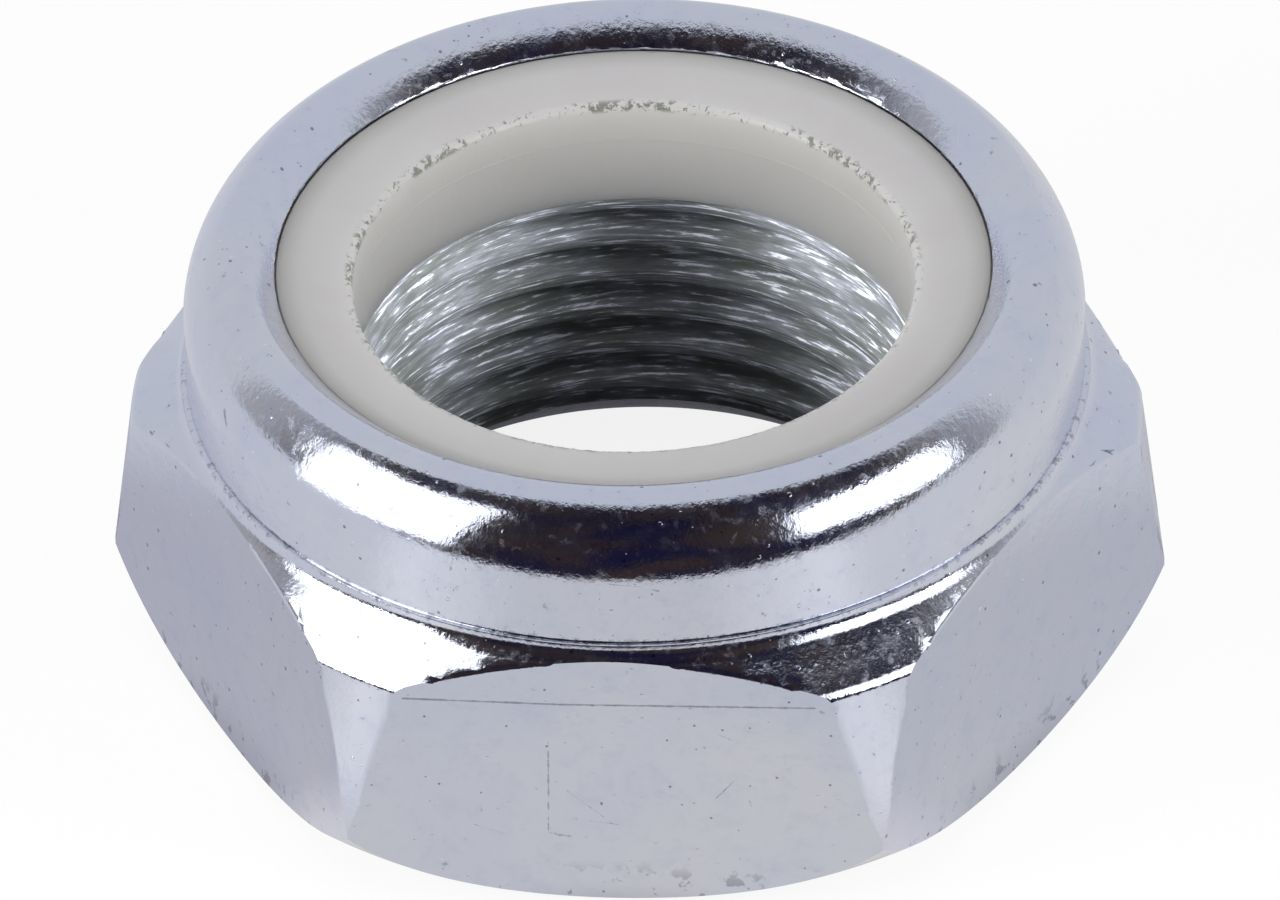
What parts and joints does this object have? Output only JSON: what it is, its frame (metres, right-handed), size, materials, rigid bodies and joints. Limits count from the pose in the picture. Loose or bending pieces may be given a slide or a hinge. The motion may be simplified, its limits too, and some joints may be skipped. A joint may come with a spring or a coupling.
{
  "type": "nylon insert lock nut",
  "caption": "Thin hexagon lock nut with a fine right-hand thread and a round collar rolled in over a nylon locking ring.",
  "frame": {"origin": "centre of the thread axis on the bearing face, the flat ring under the hexagon", "axes": "+Z along the thread axis, from the bearing face towards the nylon ring; +Y and -Y square to one pair of flats; +X and -X through a pair of corners"},
  "size_m": [0.0346, 0.03, 0.0156],
  "materials": {
    "zinc_plated_steel": "bright zinc plating over cold-formed steel, with small scuffs",
    "natural_nylon": "semi-matte undyed nylon, slightly grey"
  },
  "bodies": {
    "root": {"nut_body": "zinc_plated_steel", "nylon_insert": "natural_nylon"}
  },
  "joints": []
}
